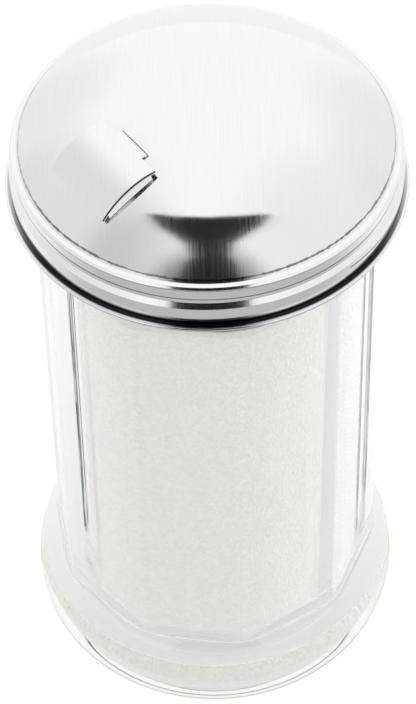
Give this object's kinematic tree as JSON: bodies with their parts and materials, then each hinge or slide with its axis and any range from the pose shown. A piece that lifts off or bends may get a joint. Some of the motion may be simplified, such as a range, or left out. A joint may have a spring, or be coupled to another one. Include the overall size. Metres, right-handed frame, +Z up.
{
  "type": "sugar dispenser",
  "caption": "Faceted glass sugar dispenser with a screw-on domed steel lid and a hinged pour flap over its opening, filled with white sugar.",
  "frame": {"origin": "middle of the jar's base, in the plane that it stands on", "axes": "+Z up along the jar's axis; the pour flap lies at 216 degrees from +X about +Z, so at the front left seen along +Y"},
  "size_m": [0.0763, 0.0762, 0.1461],
  "materials": {
    "clear_glass": "clear pressed glass, faint green in the thick edges",
    "sugar": "white granulated sugar",
    "liner": "off-white moulded liner",
    "lid_steel": "brushed dome, polished rim and skirt",
    "flap_steel": "brushed, in line with the dome"
  },
  "bodies": {
    "jar": {"glass_jar": "clear_glass", "sugar_fill": "sugar"},
    "liner": {"sealing_ring": "liner"},
    "lid": {"lid": "lid_steel"},
    "flap": {"pour_flap": "flap_steel"}
  },
  "joints": [
    {"name": "lid_rise", "type": "slide", "parent": "jar", "child": "liner", "axis": [0, 0, 1], "range_m": [0, 0.00421]},
    {"name": "lid_turn", "type": "hinge", "parent": "liner", "child": "lid", "pos_m": [0, 0, 0.13], "axis": [0, 0, 1], "range_deg": [0, 360]},
    {"name": "flap_swing", "type": "hinge", "parent": "lid", "child": "flap", "pos_m": [-0.01363, -0.0099, 0.14347], "axis": [-0.5878, 0.809, 0], "range_deg": [0, 75]}
  ],
  "couplings": [
    {"joint": "lid_rise", "follows": "lid_turn", "m_per_rad": 0.00066845}
  ]
}
